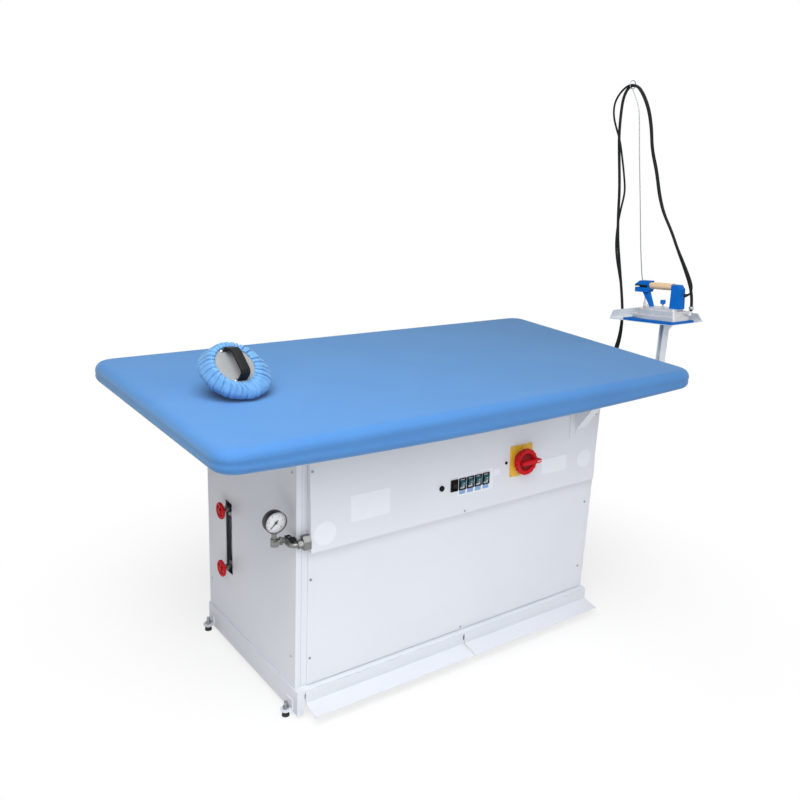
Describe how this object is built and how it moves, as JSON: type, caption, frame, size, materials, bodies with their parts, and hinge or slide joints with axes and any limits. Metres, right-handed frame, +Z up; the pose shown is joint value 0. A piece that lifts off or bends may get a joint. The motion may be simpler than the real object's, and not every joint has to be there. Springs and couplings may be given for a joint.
{
  "type": "vacuum ironing table",
  "caption": "Heated vacuum ironing table: padded board on a steam boiler cabinet with fan, foot pedals, gauges, switches and a sprung-rod iron rest with steam iron.",
  "frame": {"origin": "on the floor under the middle of the object's own extent, cords left out", "axes": "+Z up, +X along the board towards the iron rest, -Y towards the operator and the pedals"},
  "size_m": [1.795, 0.9, 1.778],
  "materials": {
    "cover_cloth": "matte",
    "felt": "matte",
    "white_paint": "satin",
    "grey_paint": "satin",
    "bare_steel": "satin",
    "zinc_steel": "satin",
    "iron_cast": "matte",
    "plated_brass": "polished",
    "black_rubber": "matte",
    "blue_rubber": "matte",
    "black_plastic": "matte",
    "blue_plastic": "satin",
    "red_plastic": "gloss",
    "yellow_plastic": "gloss",
    "teal_plastic": "gloss",
    "white_plastic": "satin",
    "clear_glass": "polished",
    "grip_wood": "satin",
    "grey_cast": "satin"
  },
  "bodies": {
    "cabinet": {"board_cover": "cover_cloth", "board_pad": "felt", "perforated_plate": "bare_steel", "plate_heater": "bare_steel", "board_shell": "bare_steel", "base_frame": "grey_paint", "cabinet_frame": "white_paint", "left_side_panel": "white_paint", "right_side_panel": "white_paint", "back_panel": "white_paint", "lower_front_panel": "white_paint", "control_box": "white_paint", "front_bracket": "white_paint", "panel_screws": "zinc_steel", "foot_studs": "zinc_steel", "foot_pads": "black_rubber", "pedal_rod": "zinc_steel", "boiler": "bare_steel", "gauge_glasses": "clear_glass", "level_valves": "plated_brass", "boiler_fittings": "plated_brass", "feed_pump": "grey_paint", "gauge_case": "zinc_steel", "gauge_pipework": "plated_brass", "fan_housing": "grey_paint", "fan_motor": "grey_cast", "suction_duct": "bare_steel", "switchgear": "grey_paint", "isolator_plate": "yellow_plastic", "switch_bezels": "black_plastic", "rest_post": "white_paint", "rest_tray": "grey_cast", "rest_mat": "blue_rubber", "hose_rod": "zinc_steel", "rod_spring": "zinc_steel", "steam_hose": "black_rubber", "iron_cable": "black_rubber", "hose_glands": "black_plastic"},
    "isolator": {"isolator_knob": "red_plastic"},
    "black_rocker": {"black_rocker": "black_plastic"},
    "rocker_1": {"rocker_1": "teal_plastic"},
    "rocker_2": {"rocker_2": "teal_plastic"},
    "rocker_3": {"rocker_3": "teal_plastic"},
    "rocker_4": {"rocker_4": "teal_plastic"},
    "push_button": {"push_button": "black_plastic"},
    "left_pedal": {"left_pedal": "white_paint"},
    "right_pedal": {"right_pedal": "white_paint"},
    "upper_handwheel": {"upper_handwheel": "red_plastic"},
    "lower_handwheel": {"lower_handwheel": "red_plastic"},
    "gauge_needle": {"gauge_needle": "black_plastic"},
    "valve_lever": {"valve_lever": "black_plastic"},
    "hand_pad": {"pad_cover": "cover_cloth", "pad_plate": "grey_cast", "pad_handle": "black_plastic"},
    "iron": {"iron_body": "grey_cast", "iron_handle": "blue_plastic", "wood_grip": "grip_wood"},
    "iron_knob": {"iron_knob": "blue_plastic"},
    "iron_trigger": {"iron_trigger": "black_plastic"},
    "impeller": {"fan_impeller": "bare_steel"}
  },
  "joints": [
    {"name": "isolator_turn", "type": "hinge", "parent": "cabinet", "child": "isolator", "pos_m": [0.1375, -0.29859, 0.628], "axis": [0, 0.9987, -0.0504], "range_deg": [0, 90]},
    {"name": "black_rocker_tip", "type": "hinge", "parent": "cabinet", "child": "black_rocker", "pos_m": [-0.119, -0.29925, 0.59495], "axis": [-1, 0, 0], "range_deg": [0, 16]},
    {"name": "rocker_1_tip", "type": "hinge", "parent": "cabinet", "child": "rocker_1", "pos_m": [-0.089, -0.29925, 0.59495], "axis": [-1, 0, 0], "range_deg": [0, 16]},
    {"name": "rocker_2_tip", "type": "hinge", "parent": "cabinet", "child": "rocker_2", "pos_m": [-0.0595, -0.29925, 0.59495], "axis": [-1, 0, 0], "range_deg": [0, 16]},
    {"name": "rocker_3_tip", "type": "hinge", "parent": "cabinet", "child": "rocker_3", "pos_m": [-0.03, -0.29925, 0.59495], "axis": [-1, 0, 0], "range_deg": [0, 16]},
    {"name": "rocker_4_tip", "type": "hinge", "parent": "cabinet", "child": "rocker_4", "pos_m": [-0.0005, -0.29925, 0.59495], "axis": [-1, 0, 0], "range_deg": [0, 16]},
    {"name": "push_button_press", "type": "slide", "parent": "cabinet", "child": "push_button", "axis": [0, 0.9987, -0.0504], "range_m": [0, 0.004], "stiffness_N_per_m": 300, "springref_m": -0.002},
    {"name": "left_pedal_press", "type": "hinge", "parent": "cabinet", "child": "left_pedal", "pos_m": [-0.3225, -0.28, 0.06], "axis": [1, 0, 0], "range_deg": [0, 8], "stiffness_Nm_per_rad": 6, "springref_deg": -20.05},
    {"name": "right_pedal_press", "type": "hinge", "parent": "cabinet", "child": "right_pedal", "pos_m": [0.2255, -0.28, 0.06], "axis": [1, 0, 0], "range_deg": [0, 8], "stiffness_Nm_per_rad": 6, "springref_deg": -20.05},
    {"name": "upper_handwheel_turn", "type": "hinge", "parent": "cabinet", "child": "upper_handwheel", "pos_m": [-0.6445, 0.134, 0.466], "axis": [1, 0, 0], "range_deg": [0, 540]},
    {"name": "lower_handwheel_turn", "type": "hinge", "parent": "cabinet", "child": "lower_handwheel", "pos_m": [-0.6445, 0.134, 0.278], "axis": [1, 0, 0], "range_deg": [0, 540]},
    {"name": "gauge_needle_turn", "type": "hinge", "parent": "cabinet", "child": "gauge_needle", "pos_m": [-0.6695, -0.2689, 0.594], "axis": [0, 1, 0], "range_deg": [0, 270], "stiffness_Nm_per_rad": 0.002, "springref_deg": -17.19},
    {"name": "valve_lever_turn", "type": "hinge", "parent": "cabinet", "child": "valve_lever", "pos_m": [-0.6365, -0.277, 0.547], "axis": [0, 0, -1], "range_deg": [0, 90]},
    {"name": "hand_pad_lift", "type": "slide", "parent": "cabinet", "child": "hand_pad", "axis": [0, 0, 1], "range_m": [0, 0.15]},
    {"name": "iron_lift", "type": "slide", "parent": "cabinet", "child": "iron", "axis": [0, 0, 1], "range_m": [0, 0.07], "deforming": ["steam_hose", "iron_cable"]},
    {"name": "iron_knob_turn", "type": "hinge", "parent": "iron", "child": "iron_knob", "pos_m": [0.7885, -0.24473, 1.05797], "axis": [0, 0.1097, 0.994], "range_deg": [0, 270]},
    {"name": "iron_trigger_press", "type": "slide", "parent": "iron", "child": "iron_trigger", "axis": [0, -0.1097, -0.994], "range_m": [0, 0.003], "stiffness_N_per_m": 400, "springref_m": -0.002},
    {"name": "fan_spin", "type": "hinge", "parent": "cabinet", "child": "impeller", "pos_m": [-0.0325, 0, 0.45], "axis": [0, 0, 1], "continuous": true}
  ]
}
